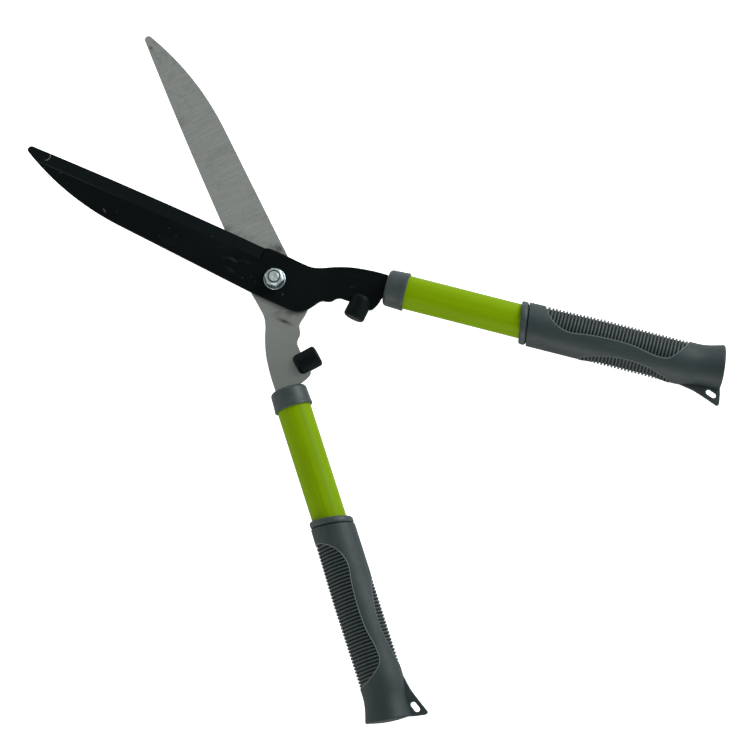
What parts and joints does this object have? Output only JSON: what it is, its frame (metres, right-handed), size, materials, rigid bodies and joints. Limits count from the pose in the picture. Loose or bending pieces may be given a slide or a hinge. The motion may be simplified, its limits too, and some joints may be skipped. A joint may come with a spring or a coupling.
{
  "type": "hedge shears",
  "caption": "Hand hedge shears: long straight-edged blades on a bolted pivot, rubber stops, tubular handles with collars and ribbed two-part grips.",
  "frame": {"origin": "on the axis of the pivot bolt, at the plane where the two blades slide on each other", "axes": "+Z along the pivot bolt towards its nut, +Y along the middle line between the open blades towards their tips, +X to the right seen from the nut"},
  "size_m": [0.3922, 0.5317, 0.038],
  "materials": {
    "blade_lacquer": "satin",
    "blade_steel": "ground",
    "lime_paint": "gloss",
    "slate_plastic": "satin",
    "grip_rubber": "matt",
    "stop_rubber": "matt",
    "plug_plastic": "matt",
    "zinc_steel": "zinc plated",
    "spring_steel": "oiled",
    "insert_nylon": "matt"
  },
  "bodies": {
    "lower_half": {"lower_blade": "blade_steel", "lower_stop": "stop_rubber", "lower_collar": "slate_plastic", "lower_tube": "lime_paint", "lower_tang_plug": "plug_plastic", "lower_tang_pin": "zinc_steel", "lower_grip_core": "slate_plastic", "lower_grip_shell": "grip_rubber", "pivot_bolt": "zinc_steel", "bolt_washer": "zinc_steel", "disc_spring": "spring_steel", "pivot_nut": "zinc_steel", "nut_insert": "insert_nylon"},
    "upper_half": {"upper_blade": "blade_lacquer", "upper_stop": "stop_rubber", "upper_collar": "slate_plastic", "upper_tube": "lime_paint", "upper_tang_plug": "plug_plastic", "upper_tang_pin": "zinc_steel", "upper_grip_core": "slate_plastic", "upper_grip_shell": "grip_rubber"}
  },
  "joints": [
    {"name": "blade_pivot", "type": "hinge", "parent": "lower_half", "child": "upper_half", "pos_m": [0, 0, 0], "axis": [0, 0, 1], "range_deg": [-32.7, 100]}
  ]
}
